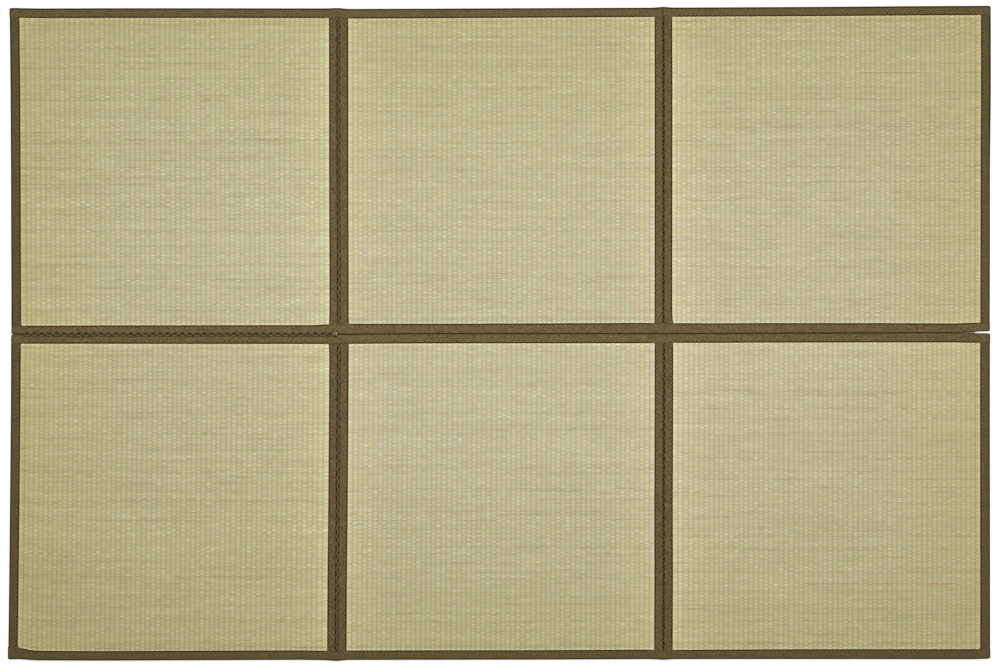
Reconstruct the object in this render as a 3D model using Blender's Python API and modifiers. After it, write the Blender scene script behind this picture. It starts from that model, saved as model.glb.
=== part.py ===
"""Folding rush mat of six square panels, lying flat.

Two rows of three pads are bound with cloth tape. A side tape folds round the left and the
right edge of every pad, and a long tape folds over the whole near or far edge of a row,
on top of the ends of the side tapes. X runs along the rows, Y from the near row to the
far one, and Z up from the floor.
"""

from collections import namedtuple
from math import cos, pi, sin

import bmesh
import bpy

MM = 0.001

# Driving sizes
PAD_HEIGHT = 15.0 * MM
PAD_SHOULDER = 0.6 * MM
BOUND_HEIGHT = 13.0 * MM
TAPE_THICKNESS = 1.0 * MM
GAP = 0.3 * MM
LAYER = TAPE_THICKNESS + GAP
FOLD_RADIUS = 3.0 * MM
FOLD_STEPS = 2
CROSSING_RISE = 0.6 * MM
TAPE_MARGIN = 0.5 * MM
SLOPE_WIDTH = 12.9 * MM
LONG_TAPE_OVERHANG = 0.7 * MM
BUMP_REACH = 17.6 * MM

# Nominal lines of the mat: its left edge, the two seams and its right edge, then the
# near edge, the line between the rows and the far edge
SIDE_LINES = (-900.5 * MM, -297.4 * MM, 300.2 * MM, 900.5 * MM)
ROW_SPAN = {"front": (-600.0 * MM, 0.0), "back": (0.0, 600.0 * MM)}
ROW_NAMES = ("back", "front")
COLUMN_NAMES = ("left", "middle", "right")

# How far each side line strays to the right, in millimetres, at these shares of its
# row's depth from the near end
DRIFT_SHARES = (0.0, 0.25, 0.5, 0.75, 1.0)
SIDE_DRIFT = {
    ("back", 0): (1.6, 0.9, 0.5, -0.3, -2.0),
    ("back", 1): (0.6, 0.5, 0.0, -0.1, -0.2),
    ("back", 2): (-0.3, -0.2, -0.1, 0.0, -0.4),
    ("back", 3): (-0.5, 0.0, 0.1, 0.9, 0.8),
    ("front", 0): (-4.9, -3.0, -1.4, 0.2, 1.2),
    ("front", 1): (-3.5, -2.7, -1.2, 0.0, 0.7),
    ("front", 2): (-0.3, 0.2, 0.0, 0.6, 0.8),
    ("front", 3): (0.1, 0.1, 0.0, -0.2, 0.0),
}

# How far a long line strays away from the viewer: place along X and drift, in millimetres
FAR_EDGE = (
    (-900, -0.6), (-880, -1.1), (-845, -1.6), (-735, -1.2), (-550, -1.2), (-310, -1.5),
    (-285, -2.5), (0, -1.3), (290, -0.1), (600, 1.4), (750, 2.6), (900, 3.3),
)
NEAR_EDGE = (
    (-900, 1.8), (-880, 2.2), (-860, 0.5), (-845, -0.1), (-735, -0.6), (-550, 0.2),
    (-370, 0.9), (-310, 0.2), (-280, 0.7), (-90, 1.0), (95, 1.4), (260, 2.2),
    (515, 2.4), (870, 2.1), (900, 3.2),
)
MIDDLE_LINE = (
    (-900, -0.4), (-285, -0.4), (-200, 0.5), (-90, 0.9), (400, 1.0),
    (460, 1.6), (600, 1.9), (850, 2.6), (900, 3.3),
)

# Opening between the rows, in millimetres: sewn shut on the left, a slit from the first
# seam on, gaping at its right end
ROW_OPENING = ((-900, 0.3), (-297, 0.3), (0, 0.5), (840, 0.7), (870, 2.8), (900, 3.9))

# How far the mat's outline bulges where a long tape crosses a seam, in millimetres
SEAM_BUMP = {("back", "far"): (1.3, 1.5), ("front", "near"): (1.8, 1.2)}

# How far each tape reaches in over its pad, in millimetres: side tapes from left to
# right, and long tapes by place along X
SIDE_FACE = {
    "back": (17.3, 17.8, 17.4, 16.0, 16.0, 17.2),
    "front": (17.1, 17.9, 17.8, 17.1, 17.1, 17.9),
}
LONG_FACE = {
    ("back", "far"): ((-900, 17.0), (-200, 17.0), (0, 16.8), (300, 16.2), (900, 16.2)),
    ("back", "near"): (
        (-900, 16.2), (-735, 17.0), (-310, 17.4), (-280, 18.6), (-90, 18.0),
        (260, 19.3), (520, 18.6), (700, 18.1), (900, 16.8),
    ),
    ("front", "far"): (
        (-900, 17.2), (-550, 17.5), (-90, 17.8), (260, 17.6), (320, 16.9), (700, 17.2),
        (860, 17.6),
    ),
    ("front", "near"): (
        (-900, 23.4), (-880, 21.0), (-860, 18.2), (-840, 17.5),
        (280, 17.4), (320, 16.9), (520, 18.0), (900, 18.4),
    ),
}

# Colour and roughness of the two materials
RUSH_COLOUR = (0.50, 0.47, 0.27, 1.0)
RUSH_ROUGHNESS = 0.62
TAPE_COLOUR = (0.14, 0.105, 0.045, 1.0)
TAPE_ROUGHNESS = 0.85

# A station is a line across a pad: on the low or the high side it is an inset from the
# outer face, past the tape or not, and between them a share of the way across
Station = namedtuple("Station", "side inset past_tape share")
EDGE_INSETS = (
    (LAYER, False),
    (FOLD_RADIUS, False),
    (TAPE_MARGIN, True),
    (SLOPE_WIDTH, True),
)
LOW_STATIONS = tuple(Station("low", inset, past, 0.0) for inset, past in EDGE_INSETS)
HIGH_STATIONS = tuple(Station("high", inset, past, 1.0) for inset, past in reversed(EDGE_INSETS))
INNER_STATIONS = tuple(Station("inner", 0.0, False, share) for share in (0.25, 0.5, 0.75))
PAD_STATIONS = LOW_STATIONS + INNER_STATIONS + HIGH_STATIONS
TAPE_STATIONS = PAD_STATIONS[1:-1]
# Stations on each side of a pad that lie under a tape
BOUND_COUNT = 3


def read_table(table, place):
    """Value of a table of (place, value) rows at a place, straight between the rows."""
    if place <= table[0][0]:
        return table[0][1]
    for (start, low), (end, high) in zip(table, table[1:]):
        if place <= end:
            return low + (high - low) * (place - start) / (end - start)
    return table[-1][1]


def side_line(row, line, share):
    """X of a side edge or seam at a share of its row's depth."""
    table = tuple(zip(DRIFT_SHARES, SIDE_DRIFT[row, line]))
    return SIDE_LINES[line] + read_table(table, share) * MM


def side_face_x(row, tape, share):
    """X of the outer face of one side tape, counted from the left."""
    line = (tape + 1) // 2
    inward = 1.0 if tape % 2 == 0 else -1.0
    is_seam = 0 < line < len(SIDE_LINES) - 1
    return side_line(row, line, share) + inward * (GAP / 2 if is_seam else 0.0)


def seam_bump(row, edge, x):
    """Bulge of the outline where a long tape crosses the two seams."""
    sizes = SEAM_BUMP.get((row, edge), (0.0, 0.0))
    bulge = 0.0
    for seam_x, size in zip(SIDE_LINES[1:-1], sizes):
        bulge += size * MM * max(0.0, 1.0 - abs(x - seam_x) / BUMP_REACH)
    return bulge


def long_face_y(row, edge, x):
    """Y of the outer face of a long tape at a place along X."""
    place = x / MM
    if (row, edge) == ("back", "far"):
        return ROW_SPAN["back"][1] + read_table(FAR_EDGE, place) * MM + seam_bump(row, edge, x)
    if (row, edge) == ("front", "near"):
        return ROW_SPAN["front"][0] + read_table(NEAR_EDGE, place) * MM - seam_bump(row, edge, x)
    half_opening = read_table(ROW_OPENING, place) / 2
    sign = 1.0 if row == "back" else -1.0
    return (read_table(MIDDLE_LINE, place) + sign * half_opening) * MM


def side_reach(row, tape):
    """How far a side tape reaches in from its outer face."""
    return SIDE_FACE[row][tape] * MM


def long_reach(row, edge, x):
    """How far a long tape reaches in from its outer face."""
    return read_table(LONG_FACE[row, edge], x / MM) * MM


def station_place(station, low, high, low_reach, high_reach):
    """Where a station lies between two outer faces, given how far their tapes reach."""
    if station.side == "low":
        return low + station.inset + (low_reach if station.past_tape else 0.0)
    if station.side == "high":
        return high - station.inset - (high_reach if station.past_tape else 0.0)
    return low + station.share * (high - low)


def nominal_x(column, station):
    """X of a station on the nominal grid, where the long lines are read."""
    low, high = SIDE_LINES[column], SIDE_LINES[column + 1]
    reach = SIDE_FACE["back"][0] * MM
    return station_place(station, low, high, reach, reach)


def depth_share(row, station):
    """Share of the row's depth at a station, where the side lines are read."""
    low, high = ROW_SPAN[row]
    reach = LONG_FACE["back", "far"][0][1] * MM
    return (station_place(station, low, high, reach, reach) - low) / (high - low)


def pad_x(row, column, station, share):
    """X of a station of one pad at a share of the row's depth."""
    left, right = 2 * column, 2 * column + 1
    low = side_face_x(row, left, share)
    high = side_face_x(row, right, share)
    return station_place(station, low, high, side_reach(row, left), side_reach(row, right))


def pad_y(row, station, x):
    """Y of a station of one row at a place along X."""
    low = long_face_y(row, "near", x)
    high = long_face_y(row, "far", x)
    return station_place(
        station, low, high, long_reach(row, "near", x), long_reach(row, "far", x)
    )


def is_bound(index):
    """Whether a pad's station lies under a tape."""
    return index < BOUND_COUNT or index >= len(PAD_STATIONS) - BOUND_COUNT


def is_rim(index):
    """Whether a pad's station is its outermost one."""
    return index in (0, len(PAD_STATIONS) - 1)


def is_shoulder(index):
    """Whether a pad's station is the first one clear of the tape."""
    return index in (BOUND_COUNT, len(PAD_STATIONS) - 1 - BOUND_COUNT)


def pad_heights(i, j):
    """Lowest and highest Z of a pad at a pair of stations."""
    layers = int(is_bound(i)) + int(is_bound(j))
    bottom = layers * LAYER
    if layers == 2:
        top = BOUND_HEIGHT + CROSSING_RISE - 2 * LAYER
    elif layers == 1:
        top = BOUND_HEIGHT - LAYER
    else:
        top = PAD_HEIGHT - (PAD_SHOULDER if is_shoulder(i) or is_shoulder(j) else 0.0)
    if is_rim(i) or is_rim(j):
        chamfer = FOLD_RADIUS - LAYER
        return bottom + chamfer, top - chamfer
    return bottom, top


def tape_profile(reach, bottom, top):
    """Outer side of a folded tape, from its upper inner edge round to its lower one.

    Each point is how far it lies in from the outer face, and its height.
    """
    points = [(reach, top)]
    for step in range(FOLD_STEPS + 1):
        turn = pi / 2 * step / FOLD_STEPS
        inset = FOLD_RADIUS * (1.0 - sin(turn))
        points.append((inset, top - FOLD_RADIUS * (1.0 - cos(turn))))
    for step in range(FOLD_STEPS + 1):
        turn = pi / 2 * step / FOLD_STEPS
        inset = FOLD_RADIUS * (1.0 - cos(turn))
        points.append((inset, bottom + FOLD_RADIUS * (1.0 - sin(turn))))
    points.append((reach, bottom))
    return points


def index_grid(columns, rows):
    """A flat grid whose points lie at whole numbers, the first at zero."""
    mesh = bmesh.new()
    bmesh.ops.create_grid(mesh, x_segments=columns - 1, y_segments=rows - 1, size=0.5)
    for vert in mesh.verts:
        vert.co.x = round((vert.co.x + 0.5) * (columns - 1))
        vert.co.y = round((vert.co.y + 0.5) * (rows - 1))
    return mesh


def add_piece(name, mesh, anchor, material, parent, collection):
    """Makes an object of a finished mesh, with its origin at the anchor."""
    for vert in mesh.verts:
        vert.co.x -= anchor[0]
        vert.co.y -= anchor[1]
    data = bpy.data.meshes.new(name)
    mesh.to_mesh(data)
    mesh.free()
    data.materials.append(material)
    piece = bpy.data.objects.new(name, data)
    piece.location = (anchor[0], anchor[1], 0.0)
    piece.parent = parent
    collection.objects.link(piece)
    return piece


def add_pad(row, column, material, parent, collection):
    """One rush pad: a grid drawn up into a slab that thins towards its bound edges."""
    count = len(PAD_STATIONS)
    mesh = index_grid(count, count)
    drawn = bmesh.ops.extrude_face_region(mesh, geom=list(mesh.faces), use_keep_orig=True)
    upper = [item for item in drawn["geom"] if isinstance(item, bmesh.types.BMVert)]
    bmesh.ops.translate(mesh, vec=(0.0, 0.0, 1.0), verts=upper)
    for vert in mesh.verts:
        i, j = round(vert.co.x), round(vert.co.y)
        bottom, top = pad_heights(i, j)
        is_upper = vert.co.z > 0.5
        share = depth_share(row, PAD_STATIONS[j])
        vert.co.x = pad_x(row, column, PAD_STATIONS[i], share)
        vert.co.y = pad_y(row, PAD_STATIONS[j], nominal_x(column, PAD_STATIONS[i]))
        vert.co.z = top if is_upper else bottom
    bmesh.ops.recalc_face_normals(mesh, faces=list(mesh.faces))
    anchor = (
        (SIDE_LINES[column] + SIDE_LINES[column + 1]) / 2,
        sum(ROW_SPAN[row]) / 2,
    )
    name = f"panel_{row}_{COLUMN_NAMES[column]}"
    return add_piece(name, mesh, anchor, material, parent, collection)


def thicken_tape(tape):
    """Gives a tape's outer side its thickness, inward."""
    solidify = tape.modifiers.new("thickness", "SOLIDIFY")
    solidify.thickness = TAPE_THICKNESS
    solidify.offset = -1.0
    solidify.use_even_offset = True


def add_side_tape(row, tape, material, parent, collection):
    """A tape folded round the left or right edge of one pad."""
    column = tape // 2
    on_left = tape % 2 == 0
    inward = 1.0 if on_left else -1.0
    line_x = SIDE_LINES[(tape + 1) // 2]
    reach = side_reach(row, tape)
    profile_count = len(tape_profile(reach, 0.0, BOUND_HEIGHT))
    mesh = index_grid(profile_count, len(TAPE_STATIONS))
    for vert in mesh.verts:
        k, j = round(vert.co.x), round(vert.co.y)
        station = TAPE_STATIONS[j]
        under_long_tape = is_bound(j + 1)
        bottom = LAYER if under_long_tape else 0.0
        top = BOUND_HEIGHT + (CROSSING_RISE - LAYER if under_long_tape else 0.0)
        inset, height = tape_profile(reach, bottom, top)[k]
        vert.co.x = side_face_x(row, tape, depth_share(row, station)) + inward * inset
        vert.co.y = pad_y(row, station, line_x + inward * inset)
        vert.co.z = height
    if on_left:
        bmesh.ops.reverse_faces(mesh, faces=list(mesh.faces))
    anchor = (line_x, sum(ROW_SPAN[row]) / 2)
    name = f"side_tape_{row}_{tape + 1}"
    piece = add_piece(name, mesh, anchor, material, parent, collection)
    thicken_tape(piece)
    return piece


def long_tape_stations(row, share):
    """Stations of a long tape: X, the nominal X, and whether a side tape lies under it."""
    left_end = side_face_x(row, 0, share) - LONG_TAPE_OVERHANG
    stations = [(left_end, SIDE_LINES[0], True)]
    for column in range(len(COLUMN_NAMES)):
        if column > 0:
            seam_x = side_line(row, column, share)
            stations.append((seam_x, SIDE_LINES[column], True))
        for index, station in enumerate(TAPE_STATIONS, start=1):
            x = pad_x(row, column, station, share)
            stations.append((x, nominal_x(column, station), is_bound(index)))
    last_tape = 2 * len(COLUMN_NAMES) - 1
    right_end = side_face_x(row, last_tape, share) + LONG_TAPE_OVERHANG
    stations.append((right_end, SIDE_LINES[-1], True))
    return stations


def add_long_tape(row, edge, material, parent, collection):
    """A tape folded over the near or far edge of a whole row."""
    is_near = edge == "near"
    inward = 1.0 if is_near else -1.0
    stations = long_tape_stations(row, 0.0 if is_near else 1.0)
    profile_count = len(tape_profile(FOLD_RADIUS, 0.0, BOUND_HEIGHT))
    mesh = index_grid(profile_count, len(stations))
    for vert in mesh.verts:
        k, i = round(vert.co.x), round(vert.co.y)
        x, table_x, over_side_tape = stations[i]
        top = BOUND_HEIGHT + (CROSSING_RISE if over_side_tape else 0.0)
        inset, height = tape_profile(long_reach(row, edge, table_x), 0.0, top)[k]
        vert.co.x = x
        vert.co.y = long_face_y(row, edge, table_x) + inward * inset
        vert.co.z = height
    if not is_near:
        bmesh.ops.reverse_faces(mesh, faces=list(mesh.faces))
    anchor = (0.0, ROW_SPAN[row][0 if is_near else 1])
    name = f"long_tape_{row}_{edge}"
    piece = add_piece(name, mesh, anchor, material, parent, collection)
    thicken_tape(piece)
    return piece


def make_material(name, colour, roughness):
    """A plain Principled material."""
    material = bpy.data.materials.new(name)
    material.use_nodes = True
    shader = material.node_tree.nodes["Principled BSDF"]
    shader.inputs["Base Color"].default_value = colour
    shader.inputs["Roughness"].default_value = roughness
    shader.inputs["Metallic"].default_value = 0.0
    return material


def centre_on_floor(pieces, centre):
    """Moves the parent so that the origin lies under the middle of the mat."""
    places = [piece.location + vert.co for piece in pieces for vert in piece.data.vertices]
    centre.location.x = -(min(p.x for p in places) + max(p.x for p in places)) / 2
    centre.location.y = -(min(p.y for p in places) + max(p.y for p in places)) / 2


def build():
    """Models the whole mat."""
    for old in list(bpy.data.objects):
        bpy.data.objects.remove(old, do_unlink=True)
    collection = bpy.data.collections.new("rush_mat")
    bpy.context.scene.collection.children.link(collection)
    rush = make_material("rush", RUSH_COLOUR, RUSH_ROUGHNESS)
    tape = make_material("tape", TAPE_COLOUR, TAPE_ROUGHNESS)
    centre = bpy.data.objects.new("mat_centre", None)
    collection.objects.link(centre)

    pieces = []
    for row in ROW_NAMES:
        for column in range(len(COLUMN_NAMES)):
            pieces.append(add_pad(row, column, rush, centre, collection))
        for number in range(2 * len(COLUMN_NAMES)):
            pieces.append(add_side_tape(row, number, tape, centre, collection))
        for edge in ("far", "near"):
            pieces.append(add_long_tape(row, edge, tape, centre, collection))
    centre_on_floor(pieces, centre)


build()
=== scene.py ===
"""Looks of a folding rush mat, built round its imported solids.

Six woven rush panels, their cloth tapes and their sewing each stand where the solids do.
Lengths are in millimetres until a mesh or a shader takes them, and every place is worked
out from the lines of the mat.
"""

from math import atan2, cos, pi, sin

import bmesh
import bpy
import numpy as np
from mathutils import Matrix, Vector

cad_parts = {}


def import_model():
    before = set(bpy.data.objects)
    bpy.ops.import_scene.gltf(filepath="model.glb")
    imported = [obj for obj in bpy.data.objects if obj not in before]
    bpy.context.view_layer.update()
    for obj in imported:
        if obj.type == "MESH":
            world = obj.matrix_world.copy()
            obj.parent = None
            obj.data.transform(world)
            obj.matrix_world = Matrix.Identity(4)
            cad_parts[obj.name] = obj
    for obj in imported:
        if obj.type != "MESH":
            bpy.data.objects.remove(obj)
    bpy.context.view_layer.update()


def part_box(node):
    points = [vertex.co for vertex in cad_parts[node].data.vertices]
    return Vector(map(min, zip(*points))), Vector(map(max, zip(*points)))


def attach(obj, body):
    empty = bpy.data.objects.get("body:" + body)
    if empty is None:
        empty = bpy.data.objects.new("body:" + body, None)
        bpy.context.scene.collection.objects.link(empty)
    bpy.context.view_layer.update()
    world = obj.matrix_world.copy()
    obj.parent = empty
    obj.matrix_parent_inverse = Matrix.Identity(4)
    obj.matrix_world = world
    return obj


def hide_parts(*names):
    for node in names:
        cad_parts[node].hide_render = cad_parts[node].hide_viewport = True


MM = 0.001

# Lines of the mat: side lines along X, rows along Y, and how far each strays
SIDE_LINES = (-900.5, -297.4, 300.2, 900.5)
ROW_SPAN = {"front": (-600.0, 0.0), "back": (0.0, 600.0)}
ROW_DEPTH = 600.0
ROW_NAMES = ("back", "front")
COLUMN_NAMES = ("left", "middle", "right")
DRIFT_SHARES = (0.0, 0.25, 0.5, 0.75, 1.0)
SIDE_DRIFT = {
    ("back", 0): (1.6, 0.9, 0.5, -0.3, -2.0),
    ("back", 1): (0.6, 0.5, 0.0, -0.1, -0.2),
    ("back", 2): (-0.3, -0.2, -0.1, 0.0, -0.4),
    ("back", 3): (-0.5, 0.0, 0.1, 0.9, 0.8),
    ("front", 0): (-4.9, -3.0, -1.4, 0.2, 1.2),
    ("front", 1): (-3.5, -2.7, -1.2, 0.0, 0.7),
    ("front", 2): (-0.3, 0.2, 0.0, 0.6, 0.8),
    ("front", 3): (0.1, 0.1, 0.0, -0.2, 0.0),
}
FAR_EDGE = (
    (-900, -0.6), (-880, -1.1), (-845, -1.6), (-735, -1.2), (-550, -1.2), (-310, -1.5),
    (-285, -2.5), (0, -1.3), (290, -0.1), (600, 1.4), (750, 2.6), (900, 3.3),
)
NEAR_EDGE = (
    (-900, 1.8), (-880, 2.2), (-860, 0.5), (-845, -0.1), (-735, -0.6), (-550, 0.2),
    (-370, 0.9), (-310, 0.2), (-280, 0.7), (-90, 1.0), (95, 1.4), (260, 2.2),
    (515, 2.4), (870, 2.1), (900, 3.2),
)
MIDDLE_LINE = (
    (-900, -0.4), (-285, -0.4), (-200, 0.5), (-90, 0.9), (400, 1.0),
    (460, 1.6), (600, 1.9), (850, 2.6), (900, 3.3),
)
ROW_OPENING = ((-900, 0.3), (-297, 0.3), (0, 0.5), (840, 0.7), (870, 2.8), (900, 3.9))
SEAM_BUMP = {("back", "far"): (1.3, 1.5), ("front", "near"): (1.8, 1.2)}
BUMP_REACH = 17.6
GAP = 0.3

# How far each tape reaches in over its panel
SIDE_FACE = {
    "back": (17.3, 17.8, 17.4, 16.0, 16.0, 17.2),
    "front": (17.1, 17.9, 17.8, 17.1, 17.1, 17.9),
}
LONG_FACE = {
    ("back", "far"): ((-900, 17.0), (-200, 17.0), (0, 16.8), (300, 16.2), (900, 16.2)),
    ("back", "near"): (
        (-900, 16.2), (-735, 17.0), (-310, 17.4), (-280, 18.6), (-90, 18.0),
        (260, 19.3), (520, 18.6), (700, 18.1), (900, 16.8),
    ),
    ("front", "far"): (
        (-900, 17.2), (-550, 17.5), (-90, 17.8), (260, 17.6), (320, 16.9), (700, 17.2),
        (860, 17.6),
    ),
    ("front", "near"): (
        (-900, 23.4), (-880, 21.0), (-860, 18.2), (-840, 17.5),
        (280, 17.4), (320, 16.9), (520, 18.0), (900, 18.4),
    ),
}
NOMINAL_REACH = 17.2

# Heights, as in the solids
PAD_HEIGHT = 15.0
BOUND_HEIGHT = 13.0
TAPE_THICKNESS = 1.0
LAYER = TAPE_THICKNESS + GAP
CROSSING_RISE = 0.6
SLOPE_WIDTH = 12.9
LONG_TAPE_OVERHANG = 0.7
END_INSET = 3.0
END_STEPS = (0.4, 1.2, 2.4)

# Rush weave: columns between its warps, and picks, which are the rushes laid across them
COLUMN_COUNT = 62
PICK_COUNT = 195
PICK_SPREAD = 0.68
COLUMN_SPREAD = 0.10
WEAVE_RELIEF = 0.34
UNDERSIDE_STEP = (4, 8)

# Stations of a panel that lie under the tapes: below 0 under one and past 1 under the other
HIDDEN_LOW = (-0.92, -0.8, -0.3)
HIDDEN_HIGH = (1.3, 1.8, 1.92)
HIDDEN_COUNT = len(HIDDEN_LOW)

# Rush colours
RUSH_GREEN = (0.532, 0.5188, 0.271, 1.0)
RUSH_STRAW = (0.564, 0.4997, 0.264, 1.0)
RUSH_TAN = (0.620, 0.440, 0.200, 1.0)
# Colour of the painted highlight along each panel's rim beside the tapes
RUSH_RIM_HIGHLIGHT = (0.660, 0.610, 0.385, 1.0)

# Tone of each panel beside the mean of all: green, red and blue
PANEL_TONE = {
    ("back", 0): (1.02, 1.014, 1.042),
    ("back", 1): (0.99, 0.986, 1.004),
    ("back", 2): (1.01, 1.012, 1.044),
    ("front", 0): (1.00, 1.010, 0.975),
    ("front", 1): (1.01, 1.008, 1.055),
    ("front", 2): (1.03, 1.040, 1.062),
}

# Tape sewing
STITCH_PITCH = 7.5
LONG_PITCH = {
    ("back", "far"): 8.1, ("back", "near"): 8.2, ("front", "far"): 8.2, ("front", "near"): 7.6,
}
STITCH_LENGTH = 3.4
STITCH_WIDTH = 1.2
STITCH_INSET = 2.9
SCALLOP = 0.25
OUTER_FOLD = 3.0
LONG_SWELL = {("back", "far"): 1.0, ("front", "near"): 0.6}
SIDE_SWELL = {
    ("back", 0): ((0, 1.5), (60, 1.0), (600, 0.9)),
    ("back", 5): ((0, 0.8), (320, 0.75), (420, 1.45), (600, 1.4)),
    ("front", 0): ((0, 0.6), (180, 0.7), (440, 0.9), (540, 1.1), (600, 1.5)),
    ("front", 5): ((0, 1.0), (100, 0.8), (600, 0.75)),
}
JOINT_FOLD = 1.5
PATTERN_SHIFT = 300
CORNER_RADIUS = 1.6
CORNER_STEPS = (0.0, 0.25, 0.6, 1.05, 1.6)

# How much further some side tapes reach in, near and far, where they meet the long tapes
FLARE_LENGTH = 16.0
SIDE_FLARE = {
    ("back", 1): (1.4, 0.8),
    ("back", 2): (0.9, 0.0),
    ("back", 4): (1.8, 0.0),
    ("front", 1): (0.0, 1.8),
}

# How far each cut edge is drawn back from its solid's
SIDE_TRIM = {
    "back": (0.3, 0.4, 0.15, 0.15, 0.0, 0.5),
    "front": (0.3, 0.25, 0.45, 0.4, 0.35, 0.55),
}
LONG_TRIM = {
    ("back", "far"): ((-900, 0.0), (900, 0.0)),
    ("back", "near"): (
        (-900, 0.7), (-345, 0.6), (-325, -0.6), (-275, -0.6), (-220, 0.0), (260, 0.0),
        (400, 0.4), (900, 0.4),
    ),
    ("front", "far"): ((-900, 0.1), (900, 0.0)),
    ("front", "near"): ((-900, 0.3), (900, 0.3)),
}

# How dark each tape is beside the ones along the seams
SIDE_SHADE = {
    "back": (0.92, 1.05, 1.05, 1.07, 1.04, 0.95),
    "front": (0.91, 1.01, 1.01, 1.03, 1.00, 0.93),
}
LONG_SHADE = {
    ("back", "far"): 1.09,
    ("back", "near"): 1.09,
    ("front", "far"): 1.09,
    ("front", "near"): 0.95,
}

# Tape colours, the colour of their painted shade, and the painted shade of the dark line at a fold: where
# it starts and ends, and its strength
TAPE_BROWN = (0.1765, 0.1185, 0.0475, 1.0)
TAPE_OLIVE = (0.1475, 0.1165, 0.0465, 1.0)
TAPE_PAINTED_SHADE = (0.026, 0.016, 0.003, 1.0)
OUTER_FOLD_SHADE = (1.2, 2.6, 0.91)
JOINT_FOLD_SHADE = (0.45, 1.45, 0.85)

# Dark spots on the tapes: painted shade in the dip where the far tape crosses the second seam, a dark
# spot at the far left corner, and painted shade under and round the end knot. Place along X and Y, reach
# along X and Y, and strength
OUTER_SPOTS = ((298.8, 593.3, 2.4, 5.8, 0.7), (-899.4, 597.9, 3.4, 1.8, 0.9))
KNOT_SHADE_SPOTS = (
    (-303.4, -4.4, 3.2, 2.2, 1.0), (-299.2, -1.3, 1.6, 1.8, 0.8), (-300.0, 4.2, 1.6, 1.4, 0.7),
)

# Sewing of the joints. Path: share of a period, and how far aside of the joint the thread
# then lies. Bands: middle, half width and strength of the shade along the joint. Holes: how
# far aside each lies, its share of the period, its radius and its strength.
JOINTS = {
    "seam_1": {
        "period": 15.3,
        "width": 1.15,
        "thread": (0.265, 0.245, 0.135, 1.0),
        "path": (
            (0.0, -3.9), (0.07, -2.0), (0.18, -0.5), (0.35, 0.2), (0.5, 0.5),
            (0.65, 0.2), (0.82, -0.5), (0.93, -2.0),
        ),
        "bands": ((-1.3, 3.1, 0.34), (-2.6, 1.1, 0.95), (1.9, 0.7, 0.62)),
        "holes": ((-4.0, 0.0, 1.1, 1.0), (1.8, 0.5, 1.1, 0.95), (1.6, 0.05, 0.9, 0.85)),
    },
    "seam_2": {
        "period": 15.4,
        "width": 0.85,
        "thread": (0.215, 0.195, 0.115, 1.0),
        "path": ((0.0, -2.5), (0.15, -1.8), (0.34, 0.6), (0.5, 1.5), (0.66, 0.6), (0.85, -1.8)),
        "bands": ((-0.6, 2.6, 0.36), (0.3, 1.5, 0.97)),
        "holes": ((0.0, 0.0, 1.9, 1.0), (-0.3, 0.5, 1.7, 1.0)),
    },
    "row": {
        "period": 13.6,
        "width": 1.0,
        "thread": (0.290, 0.265, 0.160, 1.0),
        "path": ((0.0, 2.2), (0.14, 1.0), (0.34, -1.3), (0.5, -2.2), (0.66, -1.3), (0.86, 1.0)),
        "bands": ((-1.2, 3.6, 0.50), (1.3, 1.0, 0.62), (-0.4, 0.9, 0.75)),
        "holes": (
            (1.9, 0.27, 0.9, 0.8), (1.6, 0.38, 1.2, 1.0), (0.9, 0.5, 1.6, 1.0),
            (1.6, 0.62, 1.2, 1.0), (1.9, 0.73, 0.9, 0.8), (2.3, 0.5, 1.2, 1.0),
            (-0.6, 0.0, 1.2, 1.0), (-3.4, 0.0, 1.1, 0.6),
        ),
    },
}
ZIGZAG_HEIGHTS = (BOUND_HEIGHT + 0.4, 0.45)
ZIGZAG_DIP = 0.5
ROW_ZIGZAG_SPAN = (-878.0, -303.5)
KNOT = (-301.8, 1.1)

# Threads of the straight stitching, and of the knot
EDGE_THREAD = (0.270, 0.225, 0.115, 1.0)
KNOT_THREAD = (0.620, 0.560, 0.400, 1.0)

# Tack stitches across the ends of the long tapes
TACKS = (
    ("back", "near", -883.5), ("front", "far", -883.5),
    ("front", "far", 891.0), ("front", "near", 891.0),
)

# Camera: straight above, over the middle of the photograph
CAMERA_X = 1.3
CAMERA_Y = 0.15
CAMERA_HEIGHT = 6000.0
FRAME_WIDTH = 1840.0
SENSOR_WIDTH = 36.0

# Floor, which glows white from near the mat's edge outwards, and light, in metres and watts
FLOOR_HALF_X = 0.875
FLOOR_HALF_Y = 0.592
FLOOR_BLEND = 0.006
FLOOR_GLOW = 0.64
SOFTBOX_PLACE = (0.05, 0.13, 1.7)
SOFTBOX_SIZE = (2.7, 1.15)
SOFTBOX_POWER = 28.0
FILL_STRENGTH = 0.24


def read_table(table, place):
    """Value of a table of (place, value) rows at a place or at an array of places."""
    places, values = zip(*table)
    return np.interp(place, places, values)


def side_line(row, line, share):
    """X of a side edge or seam at a share of its row's depth."""
    return SIDE_LINES[line] + np.interp(share, DRIFT_SHARES, SIDE_DRIFT[row, line])


def side_face_x(row, tape, share):
    """X of the outer face of one side tape, counted from the left."""
    line = (tape + 1) // 2
    inward = 1.0 if tape % 2 == 0 else -1.0
    is_seam = 0 < line < len(SIDE_LINES) - 1
    return side_line(row, line, share) + inward * (GAP / 2 if is_seam else 0.0)


def seam_bump(row, edge, x):
    """Bulge of the outline where a long tape crosses the two seams."""
    sizes = SEAM_BUMP.get((row, edge), (0.0, 0.0))
    bulge = 0.0
    for seam_x, size in zip(SIDE_LINES[1:-1], sizes):
        bulge = bulge + size * np.maximum(0.0, 1.0 - np.abs(x - seam_x) / BUMP_REACH)
    return bulge


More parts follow.
